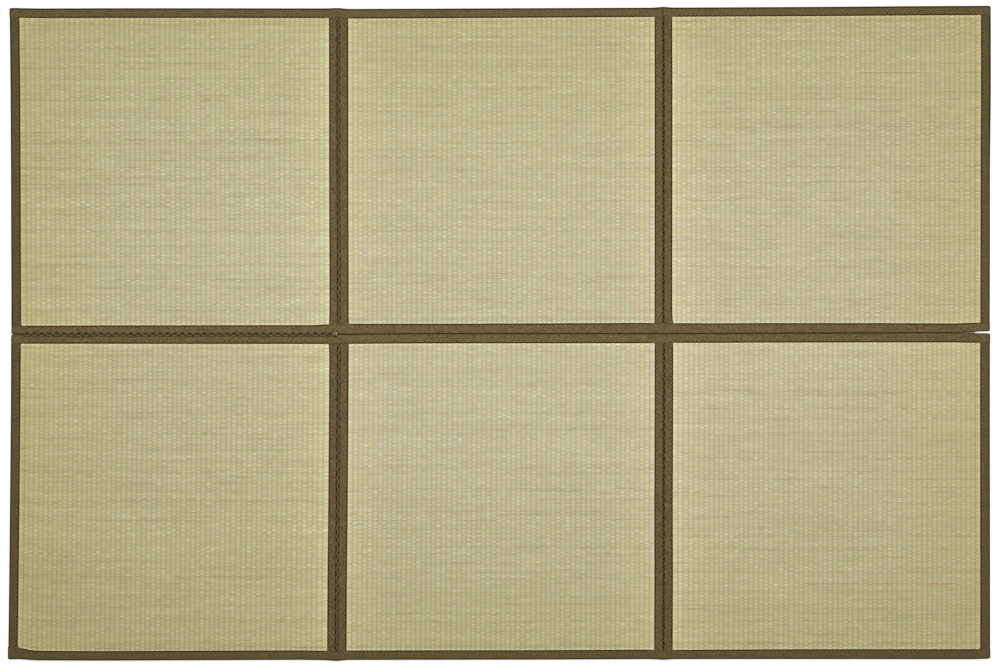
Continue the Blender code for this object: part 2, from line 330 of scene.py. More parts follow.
def long_face_y(row, edge, x):
    """Y of the outer face of a long tape at a place along X."""
    if (row, edge) == ("back", "far"):
        return ROW_SPAN["back"][1] + read_table(FAR_EDGE, x) + seam_bump(row, edge, x)
    if (row, edge) == ("front", "near"):
        return ROW_SPAN["front"][0] + read_table(NEAR_EDGE, x) - seam_bump(row, edge, x)
    sign = 1.0 if row == "back" else -1.0
    return read_table(MIDDLE_LINE, x) + sign * read_table(ROW_OPENING, x) / 2


def frame_shift():
    """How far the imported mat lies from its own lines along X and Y, from one tape's corner."""
    low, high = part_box("long_tape_back_far")
    left = side_face_x("back", 0, 1.0) - LONG_TAPE_OVERHANG
    places = np.linspace(SIDE_LINES[0], SIDE_LINES[-1], 1801)
    far = long_face_y("back", "far", places).max()
    return low.x / MM - left, high.y / MM - far


def smooth_step(share):
    """Eased share from 0 to 1, held at both ends."""
    share = np.clip(share, 0.0, 1.0)
    return share * share * (3.0 - 2.0 * share)


# Meshes


def make_mesh(name, points, faces, material, vectors=()):
    """An object of points in millimetres, with named vector attributes on its points."""
    data = bpy.data.meshes.new(name)
    data.from_pydata((np.asarray(points) * MM).tolist(), [], faces)
    for label, values in vectors:
        attribute = data.attributes.new(label, "FLOAT_VECTOR", "POINT")
        attribute.data.foreach_set("vector", np.asarray(values, np.float32).ravel())
    data.materials.append(material)
    data.polygons.foreach_set("use_smooth", [True] * len(data.polygons))
    data.validate()
    data.update()
    piece = bpy.data.objects.new(name, data)
    bpy.context.scene.collection.objects.link(piece)
    return piece


def grid_faces(rows, columns, start=0, flipped=False):
    """Quads of a grid of points that are numbered row by row."""
    faces = []
    for j in range(rows - 1):
        for i in range(columns - 1):
            a = start + j * columns + i
            face = (a, a + 1, a + columns + 1, a + columns)
            faces.append(face[::-1] if flipped else face)
    return faces


# Rush panels

def with_hidden(shares):
    """Adds the stations that lie under the tapes to shares of the open width."""
    return np.concatenate([HIDDEN_LOW, shares, HIDDEN_HIGH])


def place_between(station, low, high, low_reach, high_reach):
    """Where a station lies between two outer faces, given how far their tapes reach."""
    low_edge = low + low_reach
    high_edge = high - high_reach
    inside = low_edge + station * (high_edge - low_edge)
    under_low = low_edge + station * low_reach
    under_high = high_edge + (station - 1.0) * high_reach
    return np.where(station < 0, under_low, np.where(station > 1, under_high, inside))


def pick_places(seed):
    """Shares of the panel's depth at which its rushes lie, unevenly packed."""
    random = np.random.default_rng(seed)
    widths = 1.0 + PICK_SPREAD * random.uniform(-1.0, 1.0, PICK_COUNT)
    widths[1::2] *= 0.9
    ends = np.cumsum(widths)
    centres = (ends - widths / 2) / ends[-1]
    return np.concatenate([[0.0], centres, [1.0]])


def column_places(seed):
    """Shares of the panel's width at its warps and half way between them, a little uneven."""
    random = np.random.default_rng(seed + 500)
    widths = 1.0 + COLUMN_SPREAD * random.uniform(-1.0, 1.0, COLUMN_COUNT)
    ends = np.concatenate([[0.0], np.cumsum(widths)]) / widths.sum()
    return np.sort(np.concatenate([ends, (ends[1:] + ends[:-1]) / 2]))


def cover_count(station):
    """1 for a station under a tape and 0 for one in the open."""
    return ((station < 0) | (station > 1)).astype(int)


def pad_rise(distance):
    """How far the pad has risen at a distance from a tape's edge, as a share of its crown."""
    slope = smooth_step(distance / (SLOPE_WIDTH + 2.0))
    crown = smooth_step(distance / 110.0)
    return 0.82 * slope + 0.18 * crown


def panel_heights(across, along, width, depth):
    """Upper and lower Z of a pad on the grid of stations, without its weave."""
    low_x = np.minimum(across, 1.0 - across) * width
    low_y = np.minimum(along, 1.0 - along) * depth
    rise = pad_rise(low_x)[None, :] * pad_rise(low_y)[:, None]
    layers = cover_count(across)[None, :] + cover_count(along)[:, None]
    open_top = BOUND_HEIGHT - LAYER + (PAD_HEIGHT - BOUND_HEIGHT + LAYER) * rise
    crossing_top = BOUND_HEIGHT + CROSSING_RISE - 2 * LAYER
    top = np.where(layers == 2, crossing_top, np.where(layers == 1, BOUND_HEIGHT - LAYER, open_top))
    bottom = np.where(layers == 2, 2 * LAYER, LAYER * (1.0 - smooth_step(rise * 1.4)))
    bottom = np.where(layers == 1, LAYER, bottom)
    is_rim = np.abs(across - 0.5) > 1.41
    is_end = np.abs(along - 0.5) > 1.41
    rim = is_rim[None, :] | is_end[:, None]
    chamfer = OUTER_FOLD - LAYER
    return np.where(rim, top - chamfer, top), np.where(rim, bottom + chamfer, bottom)


def weave_relief(columns, picks):
    """Height of the weave: rushes rise over every second warp and dive between the columns."""
    column = columns / 2.0
    is_crest = (columns % 2 == 1)[None, :]
    is_over = (np.floor(column)[None, :] + picks[:, None]) % 2 == 0
    crest = np.where(is_over, WEAVE_RELIEF, -0.35 * WEAVE_RELIEF)
    return np.where(is_crest, crest, -0.6 * WEAVE_RELIEF)


def kept_stations(count, step):
    """Stations that the lower side keeps: all near its rim and every few in its middle."""
    middle = range(HIDDEN_COUNT, count - HIDDEN_COUNT, step)
    return sorted({*range(HIDDEN_COUNT), *middle, *range(count - HIDDEN_COUNT - 1, count)})


def add_panel(row, column, material):
    """One rush panel, woven on top, its rim pressed under the tapes."""
    seed = 31 * ROW_NAMES.index(row) + 7 * column + 5
    picks = pick_places(seed)
    across = with_hidden(column_places(seed))
    along = with_hidden(picks)
    near_line, far_line = ROW_SPAN[row]
    share = place_between(along, 0.0, ROW_DEPTH, NOMINAL_REACH, NOMINAL_REACH) / ROW_DEPTH
    low, high = SIDE_LINES[column], SIDE_LINES[column + 1]
    nominal_x = place_between(across, low, high, NOMINAL_REACH, NOMINAL_REACH)

    left, right = 2 * column, 2 * column + 1
    x = place_between(
        across[None, :],
        side_face_x(row, left, share)[:, None],
        side_face_x(row, right, share)[:, None],
        SIDE_FACE[row][left],
        SIDE_FACE[row][right],
    )
    y = place_between(
        along[:, None],
        long_face_y(row, "near", nominal_x)[None, :],
        long_face_y(row, "far", nominal_x)[None, :],
        read_table(LONG_FACE[row, "near"], nominal_x)[None, :],
        read_table(LONG_FACE[row, "far"], nominal_x)[None, :],
    )
    width = high - low - 2 * NOMINAL_REACH
    depth = far_line - near_line - 2 * NOMINAL_REACH
    top, bottom = panel_heights(across, along, width, depth)

    column_index = np.arange(len(across)) - HIDDEN_COUNT
    pick_index = np.arange(len(along)) - HIDDEN_COUNT - 1
    weave_u = np.broadcast_to(column_index / 2.0, x.shape)
    weave_v = np.broadcast_to((pick_index + 0.5)[:, None], x.shape)
    edge_x = np.minimum(across, 1.0 - across) * width
    edge_y = np.minimum(along, 1.0 - along) * depth
    edge = np.minimum(edge_x[None, :], edge_y[:, None])
    top = top + weave_relief(column_index, pick_index) * smooth_step(edge / 4.0)
    weave = np.stack([weave_u, weave_v, np.full(x.shape, float(seed))], axis=-1)
    spot = np.stack(
        [np.broadcast_to(across, x.shape), np.broadcast_to(along[:, None], x.shape), edge], axis=-1
    )

    rows, columns = x.shape
    upper = np.stack([x, y, top], axis=-1)
    lower = np.stack([x, y, bottom], axis=-1)
    keep_i = kept_stations(columns, UNDERSIDE_STEP[0])
    keep_j = kept_stations(rows, UNDERSIDE_STEP[1])
    coarse = np.ix_(keep_j, keep_i)
    start = rows * columns
    faces = grid_faces(rows, columns)
    faces += grid_faces(len(keep_j), len(keep_i), start, flipped=True)
    faces += rim_faces(rows, columns, keep_i, keep_j, start)

    def joined(upper_values):
        return np.concatenate([upper_values.reshape(-1, 3), upper_values[coarse].reshape(-1, 3)])

    points = np.concatenate([upper.reshape(-1, 3), lower[coarse].reshape(-1, 3)])
    name = f"rush_{row}_{COLUMN_NAMES[column]}"
    tone = np.broadcast_to(np.array(PANEL_TONE[row, column]), points.shape)
    vectors = (("weave", joined(weave)), ("spot", joined(spot)), ("tone", tone))
    piece = make_mesh(name, points, faces, material, vectors)
    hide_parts(f"panel_{row}_{COLUMN_NAMES[column]}")
    return piece


def rim_faces(rows, columns, keep_i, keep_j, start):
    """Faces down a pad's rim, between its fine upper grid and its coarse lower one."""
    faces = []
    lower_columns = len(keep_i)
    for k in range(lower_columns - 1):
        first, last = keep_i[k], keep_i[k + 1]
        near = list(range(first, last + 1))
        faces.append(near[::-1] + [start + k, start + k + 1])
        far = [(rows - 1) * columns + i for i in range(first, last + 1)]
        lower = start + (len(keep_j) - 1) * lower_columns + k
        faces.append(far + [lower + 1, lower])
    for k in range(len(keep_j) - 1):
        first, last = keep_j[k], keep_j[k + 1]
        left = [j * columns for j in range(first, last + 1)]
        faces.append(left + [start + (k + 1) * lower_columns, start + k * lower_columns])
        right = [j * columns + columns - 1 for j in range(first, last + 1)]
        lower = start + k * lower_columns + lower_columns - 1
        faces.append(right[::-1] + [lower, lower + lower_columns])
    return faces


# Tapes


def strip_section(reach, bottom, top, swell, fold, press):
    """Closed section of a folded tape: how far in each point lies, and its height.

    It runs from the upper cut edge round the fold to the lower one and back inside.
    """
    edge = reach + SCALLOP * (1.0 - 2.0 * press)
    middle = (reach + fold) / 2
    half = (top - bottom) / 2
    outer = [
        (edge, top - 0.42),
        (edge - 0.4, top - 0.1 - 0.15 * press),
        (reach - 1.6, top + 0.02 - 0.3 * press),
        (reach - STITCH_INSET, top - 0.16 - 0.1 * press),
        (reach - 4.6, top + 0.08),
        (middle - 1.0, top + 0.16),
        (fold + 1.2, top + 0.05),
    ]
    steps = 4
    for step in range(steps + 1):
        turn = pi / 2 * step / steps
        outer.append((fold - (fold + swell) * sin(turn), top - fold * (1.0 - cos(turn))))
    outer.append((-0.1 - swell, bottom + half))
    for step in range(steps):
        turn = pi / 2 * step / (steps - 1)
        outer.append((fold - (fold + swell) * cos(turn), bottom + fold * (1.0 - sin(turn))))
    outer.append((reach - STITCH_INSET, bottom + 0.02))
    outer.append((edge, bottom))
    inset = max(fold, 1.6)
    inner = [
        (edge, bottom + TAPE_THICKNESS),
        (inset, bottom + TAPE_THICKNESS),
        (TAPE_THICKNESS, bottom + inset),
        (TAPE_THICKNESS, top - inset),
        (inset, top - TAPE_THICKNESS),
        (edge, top - TAPE_THICKNESS),
    ]
    return outer + inner


def tape_rise(place, centres, reach):
    """1 where a tape lies over another and 0 clear of it, eased past the other's edge."""
    rise = 0.0
    for centre in centres:
        rise = np.maximum(rise, 1.0 - smooth_step((np.abs(place - centre) - reach) / SLOPE_WIDTH))
    return rise


def stations_along(start, end, pitch, extra):
    """Places half a stitch apart from start to end, with some extra ones."""
    count = int((end - start) // (pitch / 2))
    regular = start + np.arange(count + 1) * pitch / 2
    places = [p for p in regular if p < end - 1.0]
    return np.array(sorted({round(float(p), 4) for p in [*places, *extra, start, end]}))


def needle_press(strip):
    """1 at the needle holes of a tape's sewing and 0 half way between them."""
    return 0.5 + 0.5 * np.cos(2 * pi * (strip["place"] - strip["start"]) / strip["pitch"])


def corner_fillet(distance):
    """How far a side tape's edge rounds the panel's corner at a distance from a long tape."""
    inside = np.clip(CORNER_RADIUS - distance, 0.0, CORNER_RADIUS)
    return CORNER_RADIUS - np.sqrt(CORNER_RADIUS**2 - inside**2)


def corner_flare(row, tape, from_near, from_far):
    """How much further a side tape reaches in at its distances from the two long tapes."""
    near, far = SIDE_FLARE.get((row, tape), (0.0, 0.0))
    near_share = np.clip(1.0 - from_near / FLARE_LENGTH, 0.0, 1.0)
    far_share = np.clip(1.0 - from_far / FLARE_LENGTH, 0.0, 1.0)
    return near * near_share + far * far_share


def side_strip(row, tape):
    """Where one side tape runs: its outer line, reach and heights from its near end."""
    line = (tape + 1) // 2
    near_reach = float(read_table(LONG_FACE[row, "near"], SIDE_LINES[line]))
    far_reach = float(read_table(LONG_FACE[row, "far"], SIDE_LINES[line]))
    corners = [near_reach + step for step in CORNER_STEPS]
    corners += [ROW_DEPTH - far_reach - step for step in CORNER_STEPS]
    place = stations_along(END_INSET, ROW_DEPTH - END_INSET, STITCH_PITCH, corners)
    share = place / ROW_DEPTH
    from_near, from_far = place - near_reach, ROW_DEPTH - far_reach - place
    reach = SIDE_FACE[row][tape] - SIDE_TRIM[row][tape]
    reach = reach + corner_fillet(np.minimum(from_near, from_far))
    reach = reach + corner_flare(row, tape, from_near, from_far)
    x = side_face_x(row, tape, share)
    near = long_face_y(row, "near", SIDE_LINES[line])
    far = long_face_y(row, "far", SIDE_LINES[line])
    under = tape_rise(place, (0.0, ROW_DEPTH), NOMINAL_REACH)
    is_outer = tape in (0, 2 * len(COLUMN_NAMES) - 1)
    is_left = tape % 2 == 0
    return {
        "name": f"side_tape_{row}_{tape + 1}",
        "place": place,
        "start": END_INSET,
        "x": x,
        "y": near + (far - near) * share,
        "inward": (1.0, 0.0) if is_left else (-1.0, 0.0),
        "reach": reach,
        "bottom": LAYER * under,
        "top": BOUND_HEIGHT + (CROSSING_RISE - LAYER) * under,
        "fold": OUTER_FOLD if is_outer else JOINT_FOLD,
        "swell": read_table(SIDE_SWELL.get((row, tape), ((0, 0.0),)), place),
        "pitch": STITCH_PITCH,
        "cloth": "outer" if is_outer else f"seam_{line}",
        "sewn": np.where(under < 0.9, 0.0 if is_outer else 1.0, 0.0),
        "joint_start": 0.0,
        "side": 1.0 if is_left else -1.0,
        "shade": SIDE_SHADE[row][tape],
        "crossing": under,
        "from_end": np.full(len(place), ROW_DEPTH),
    }


def long_strip(row, edge):
    """Where one long tape runs: its outer line, reach and heights from its left end."""
    is_near = edge == "near"
    share = 0.0 if is_near else 1.0
    start = SIDE_LINES[0] - LONG_TAPE_OVERHANG
    end = SIDE_LINES[-1] + LONG_TAPE_OVERHANG
    near_ends = [inset for step in END_STEPS for inset in (start + step, end - step)]
    pitch = LONG_PITCH[row, edge]
    place = stations_along(start, end, pitch, near_ends)
    lines = [side_line(row, line, share) for line in range(len(SIDE_LINES))]
    x = np.interp(place, SIDE_LINES, lines)
    x = np.where(place < SIDE_LINES[0], lines[0] + place - SIDE_LINES[0], x)
    x = np.where(place > SIDE_LINES[-1], lines[-1] + place - SIDE_LINES[-1], x)
    inward = 1.0 if is_near else -1.0
    over = tape_rise(place, SIDE_LINES, NOMINAL_REACH)
    dip = 0.0
    for seam_x in SIDE_LINES[1:-1]:
        dip = dip + np.exp(-(((place - seam_x) / 4.0) ** 2))
    is_outer = (row, edge) in (("back", "far"), ("front", "near"))
    fold = OUTER_FOLD if is_outer else JOINT_FOLD
    from_end = np.minimum(place - start, end - place)
    rounding = 1.5 * np.maximum(0.0, 1.0 - from_end / 3.0) ** 2
    reach = read_table(LONG_FACE[row, edge], place) - read_table(LONG_TRIM[row, edge], place)
    zigzag_on = (place > ROW_ZIGZAG_SPAN[0]) & (place < ROW_ZIGZAG_SPAN[1])
    return {
        "name": f"long_tape_{row}_{edge}",
        "place": place,
        "start": start,
        "x": x,
        "y": long_face_y(row, edge, place) + inward * rounding,
        "inward": (0.0, inward),
        "reach": reach - rounding,
        "bottom": np.zeros(len(place)),
        "top": BOUND_HEIGHT + CROSSING_RISE * over - 0.7 * dip,
        "fold": fold,
        "swell": np.full(len(place), LONG_SWELL.get((row, edge), 0.0)),
        "pitch": pitch,
        "cloth": "outer" if is_outer else "row",
        "sewn": np.where(zigzag_on, 0.0 if is_outer else 1.0, 0.0),
        "joint_start": ROW_ZIGZAG_SPAN[0],
        "side": 1.0 if is_near else -1.0,
        "shade": LONG_SHADE[row, edge],
        "crossing": over,
        "from_end": from_end,
    }


def joint_phase(strip):
    """Periods of the joint's sewing at each station, counted as its thread is."""
    if strip["cloth"] not in JOINTS:
        return np.zeros(len(strip["place"]))
    return (strip["place"] - strip["joint_start"]) / JOINTS[strip["cloth"]]["period"]


def add_strip(strip, material, number):
    """One folded tape as a closed mesh that stands for its solid."""
    press = needle_press(strip)
    sections = []
    for k in range(len(strip["place"])):
        here = [strip[label][k] for label in ("reach", "bottom", "top", "swell")]
        sections.append(strip_section(*here, strip["fold"], press[k]))
    sections = np.array(sections)
    inset, height = sections[..., 0], np.maximum(sections[..., 1], 0.0)
    inward_x, inward_y = strip["inward"]
    x = strip["x"][:, None] + inward_x * inset
    y = strip["y"][:, None] + inward_y * inset
    stitches = (strip["place"] - strip["start"]) / strip["pitch"] + number * PATTERN_SHIFT
    along = np.broadcast_to(stitches[:, None] * STITCH_PITCH, inset.shape)
    edge = strip["reach"][:, None] - inset
    layout = np.stack([along, inset, edge], axis=-1)
    phase = np.broadcast_to(joint_phase(strip)[:, None], inset.shape)
    sewn = np.broadcast_to(strip["sewn"][:, None], inset.shape)
    seam = np.stack([phase, strip["side"] * inset, sewn], axis=-1)
    state = [np.full(len(strip["place"]), strip["shade"]), strip["crossing"], strip["from_end"]]
    tone = np.broadcast_to(np.stack(state, axis=-1)[:, None, :], (*inset.shape, 3))

    rows, columns = inset.shape
    flipped = (inward_x < 0) != (inward_y > 0)
    faces = []
    for j in range(rows - 1):
        for i in range(columns):
            a = j * columns + i
            b = j * columns + (i + 1) % columns
            face = (a, b, b + columns, a + columns)
            faces.append(face[::-1] if flipped else face)
    near_cap = tuple(range(columns))
    far_cap = tuple((rows - 1) * columns + i for i in range(columns))
    faces.append(near_cap if flipped else near_cap[::-1])
    faces.append(far_cap[::-1] if flipped else far_cap)
    points = np.stack([x, y, height], axis=-1).reshape(-1, 3)
    vectors = (
        ("layout", layout.reshape(-1, 3)),
        ("seam", seam.reshape(-1, 3)),
        ("tone", tone.reshape(-1, 3)),
    )
    piece = make_mesh(strip["name"] + "_cloth", points, faces, material, vectors)
    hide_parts(strip["name"])
    return piece


# Sewing


def bead(length, width, height, sides=6, rings=4):
    """Points and faces of one stitch along X: a low rounded bead that tapers to both ends."""
    points = [(-length / 2, 0.0, 0.0)]
    for ring in range(rings):
        turn = pi * (ring + 1) / (rings + 1)
        girth = sin(turn) ** 0.6
        for side in range(sides):
            angle = 2 * pi * side / sides
            points.append(
                (-length / 2 * cos(turn), girth * width / 2 * cos(angle), girth * height / 2 * sin(angle))
            )
    points.append((length / 2, 0.0, 0.0))
    faces = []
    last = len(points) - 1
    for side in range(sides):
        following = (side + 1) % sides
        faces.append((0, 1 + following, 1 + side))
        for ring in range(rings - 1):
            a = 1 + ring * sides
            faces.append((a + side, a + following, a + sides + following, a + sides + side))
        a = 1 + (rings - 1) * sides
        faces.append((last, a + side, a + following))
    return np.array(points), faces


def add_beads(name, places, material):
    """One mesh of many beads. Each place is a start and an end point, a width and a height."""
    points, faces = [], []
    first = 0
    for start, end, width, height in places:
        start, end = np.array(start), np.array(end)
        way = end - start
        length = float(np.linalg.norm(way))
        shape, shape_faces = bead(length, width, height)
        turn = atan2(way[1], way[0])
        tilt = atan2(way[2], float(np.hypot(way[0], way[1])))
        turned = Matrix.Rotation(turn, 3, "Z") @ Matrix.Rotation(-tilt, 3, "Y")
        points.append(shape @ np.array(turned).T + (start + end) / 2)
        faces += [tuple(first + i for i in face) for face in shape_faces]
        first += len(shape)
    return make_mesh(name, np.concatenate(points), faces, material)


def strip_point(strip, place, inset):
    """X and Y of a point on a tape, given its place along it and how far in it lies."""
    x = np.interp(place, strip["place"], strip["x"]) + strip["inward"][0] * inset
    y = np.interp(place, strip["place"], strip["y"]) + strip["inward"][1] * inset
    return float(x), float(y)


def edge_stitches(strip, on_top):
    """Beads of the straight sewing along one tape, on its upper or its lower side."""
    beads = []
    first, last = strip["place"][0], strip["place"][-1]
    count = int((last - first) // strip["pitch"])
    random = np.random.default_rng(int(3000 + strip["x"][0] + strip["y"][0]))
    for k in range(count):
        centre = first + (k + 0.5) * strip["pitch"] + random.uniform(-0.3, 0.3)
        half = STITCH_LENGTH / 2 * random.uniform(0.85, 1.1)
        if not first + half < centre < last - half:
            continue
        sewn_top = float(np.interp(centre, strip["place"], strip["top"]))
        sewn_bottom = float(np.interp(centre, strip["place"], strip["bottom"]))
        height = sewn_top - 0.05 if on_top else sewn_bottom + 0.32
        reach = float(np.interp(centre, strip["place"], strip["reach"]))
        inset = reach - STITCH_INSET + random.uniform(-0.15, 0.15)
        start = (*strip_point(strip, centre - half, inset), height)
        end = (*strip_point(strip, centre + half, inset), height)
        beads.append((start, end, STITCH_WIDTH, 0.62))
    return beads


def joint_thread(line_point, origin, span, joint, height, seed):
    """Points of the thread that crosses a joint to and fro. line_point gives a point beside it."""
    random = np.random.default_rng(seed)
    start, end = span
    first = int((start - origin) // joint["period"])
    last = int((end - origin) // joint["period"])
    lows = [aside for share, aside in joint["path"]]
    lowest, highest = min(lows), max(lows)
    points = []
    for k in range(first, last + 1):
        stretch = random.uniform(0.8, 1.12)
        for share, aside in joint["path"]:
            along = origin + (k + share) * joint["period"] + random.uniform(-0.35, 0.35)
            if not start <= along <= end:
                continue
            sunk = 2.0 * abs((aside - lowest) / (highest - lowest) - 0.5)
            lift = -ZIGZAG_DIP * sunk**4 + random.uniform(-0.08, 0.08)
            x, y = line_point(along, aside * stretch)
            points.append((x, y, height + lift))
    return np.array(points)


def tube(points, width, height, sides=6):
    """Points and faces of a closed flat tube along some points."""
    ways = np.gradient(points[:, :2], axis=0)
    ways /= np.linalg.norm(ways, axis=1, keepdims=True)
    aside = np.stack([-ways[:, 1], ways[:, 0], np.zeros(len(ways))], axis=-1)
    angles = 2 * pi * np.arange(sides) / sides
    rings = points[:, None, :] + aside[:, None, :] * (np.cos(angles) * width / 2)[None, :, None]
    rings[..., 2] += np.sin(angles) * height / 2
    faces = []
    for j in range(len(points) - 1):
        for i in range(sides):
            a = j * sides + i
            b = j * sides + (i + 1) % sides
            faces.append((a, b, b + sides, a + sides))
    faces.append(tuple(range(sides))[::-1])
    faces.append(tuple((len(points) - 1) * sides + i for i in range(sides)))
    return rings.reshape(-1, 3), faces


def add_threads(name, lines, width, material):
    """One mesh of several threads, each along its own points."""
    points, faces = [], []
    first = 0
    for line in lines:
        shape, shape_faces = tube(line, width, 0.62 * width)
        points.append(shape)
        faces += [tuple(first + i for i in face) for face in shape_faces]
        first += len(shape)
    return make_mesh(name, np.concatenate(points), faces, material)


def seam_line(row, line):
    """A function that gives a point beside the joint of two panels of a row."""
    near = long_face_y(row, "near", SIDE_LINES[line])
    far = long_face_y(row, "far", SIDE_LINES[line])

    def point(along, aside):
        share = along / ROW_DEPTH
        return float(side_line(row, line, share) + aside), float(near + (far - near) * share)

    return point


def seam_span(row, line):
    """Where the zigzag of a joint starts and ends between the row's two long tapes."""
    near_reach = float(read_table(LONG_FACE[row, "near"], SIDE_LINES[line]))
    far_reach = float(read_table(LONG_FACE[row, "far"], SIDE_LINES[line]))
    return near_reach + 0.8, ROW_DEPTH - far_reach - 0.8


def row_line(along, aside):
    """A point beside the joint between the two rows."""
    return float(along), float(read_table(MIDDLE_LINE, along) + aside)


def knot_beads():
    """The knot that ends the zigzag between the rows."""
    x, y = KNOT
    top = BOUND_HEIGHT + CROSSING_RISE
    return [
        ((x - 0.3, y - 3.6, top), (x + 0.4, y + 2.4, top), 1.9, 1.3),
        ((x - 6.4, y - 1.6, top), (x - 1.6, y - 0.4, top), 1.3, 0.9),
    ]


def tack_beads():
    """Short stitches across the long tapes, near the ends of the mat."""
    beads = []
    for row, edge, x in TACKS:
        inward = 1.0 if edge == "near" else -1.0
        face = float(long_face_y(row, edge, x))
        for inset in (3.2, 8.0, 12.6):
            start = (x, face + inward * inset, BOUND_HEIGHT + CROSSING_RISE + 0.15)
            end = (x + 0.3, face + inward * (inset + 3.2), BOUND_HEIGHT + CROSSING_RISE + 0.15)
            beads.append((start, end, STITCH_WIDTH, 0.62))
    return beads


# Materials


class Shader:
    """Builds the nodes of one material. Inputs may be numbers, colours or sockets."""

    def __init__(self, name):
        self.material = bpy.data.materials.new(name)
        self.material.use_nodes = True
        self.tree = self.material.node_tree
        self.surface = self.tree.nodes["Principled BSDF"]

    def plug(self, socket, value):
        """Joins a socket to an input, or sets the input to a value."""
        if isinstance(value, bpy.types.NodeSocket):
            self.tree.links.new(value, socket)
        elif value is not None:
            socket.default_value = value

    def node(self, kind, settings=None, **inputs):
        """A node with its settings and named inputs."""
        made = self.tree.nodes.new(kind)
        for key, value in (settings or {}).items():
            setattr(made, key, value)
        for key, value in inputs.items():
            self.plug(made.inputs[key], value)
        return made

    def maths(self, operation, first, second=None, third=None):
        """Result of a Math node."""
        made = self.tree.nodes.new("ShaderNodeMath")
        made.operation = operation
        for socket, value in zip(made.inputs, (first, second, third)):
            self.plug(socket, value)
        return made.outputs[0]

    def add(self, first, second):
        return self.maths("ADD", first, second)

    def less(self, first, second):
        return self.maths("SUBTRACT", first, second)

    def times(self, first, second):
        return self.maths("MULTIPLY", first, second)

    def ramp(self, value, low, high, start=0.0, end=1.0):
        """Value eased from start to end as it goes from low to high."""
        made = self.tree.nodes.new("ShaderNodeMapRange")
        made.interpolation_type = "SMOOTHSTEP"
        for key, number in (
            ("Value", value), ("From Min", low), ("From Max", high), ("To Min", start), ("To Max", end)
        ):
            self.plug(made.inputs[key], number)
        return made.outputs[0]

    def attribute(self, name):
        """X, Y and Z of a vector attribute on the mesh."""
        made = self.node("ShaderNodeAttribute", {"attribute_name": name})
        parts = self.node("ShaderNodeSeparateXYZ", Vector=made.outputs["Vector"])
        return tuple(parts.outputs)

    def vector(self, x, y, z=0.0):
        """A vector of three numbers or sockets."""
        return self.node("ShaderNodeCombineXYZ", X=x, Y=y, Z=z).outputs[0]

    def noise(self, vector, scale=1.0, detail=2.0):
        """Smooth noise about 0.5."""
        made = self.node("ShaderNodeTexNoise", {"noise_dimensions": "3D"}, Vector=vector, Scale=scale)
        made.inputs["Detail"].default_value = detail
        return made.outputs[0]

    def chance(self, vector):
        """A random number from 0 to 1 for each place of a vector."""
        return self.node("ShaderNodeTexWhiteNoise", Vector=vector).outputs["Value"]

    def mix(self, share, first, second, blend="MIX"):
        """Two colours mixed by a share."""
        made = self.node("ShaderNodeMix", {"data_type": "RGBA", "blend_type": blend})
        self.plug(made.inputs[0], share)
        self.plug(made.inputs[6], first)
        self.plug(made.inputs[7], second)
        return made.outputs[2]

    def shade(self, colour, factor):
        """A colour made lighter or darker by a factor."""
        grey = self.node("ShaderNodeCombineColor", Red=factor, Green=factor, Blue=factor).outputs[0]
        return self.mix(1.0, colour, grey, "MULTIPLY")

    def bump(self, height, distance):
        """A normal tilted by a height, in metres times distance."""
        made = self.node("ShaderNodeBump", Height=height)
        made.inputs["Strength"].default_value = 1.0
        made.inputs["Distance"].default_value = distance
        return made.outputs[0]


def rounded(s, share, power):
    """Height across one rounded strand: 1 in its middle and 0 at both its sides."""
    return s.less(1.0, s.maths("POWER", s.maths("ABSOLUTE", s.less(s.times(share, 2.0), 1.0)), power))


def about_one(s, value, spread):
    """A factor about 1 from a value about one half."""
    return s.add(1.0 - spread / 2, s.times(value, spread))


def rush_sheen_falloff(s):
    """Painted falloff of the sheen: share of blue lost and of red gained towards the mat's sides and
    ends, where the sheen of the light above fades.
    """
    place = s.node("ShaderNodeTexCoord").outputs["Object"]
    x, y, z = s.node("ShaderNodeSeparateXYZ", Vector=place).outputs
    out_x = s.maths("ABSOLUTE", x)
    out_y = s.maths("ABSOLUTE", y)
    side = s.ramp(out_x, 0.62, 0.90, 0.0, 0.17)
    end = s.times(s.maths("POWER", s.times(out_y, 1.0 / 0.6), 2.2), 0.165)
    blue_lost_with_sheen = s.add(s.maths("MAXIMUM", side, end), s.times(s.maths("MINIMUM", side, end), 0.25))
    red_gained_with_sheen = s.ramp(out_x, 0.72, 0.90, 0.0, 0.055)
    return blue_lost_with_sheen, red_gained_with_sheen, s.ramp(out_x, 0.6, 0.8, 1.0, 0.0)


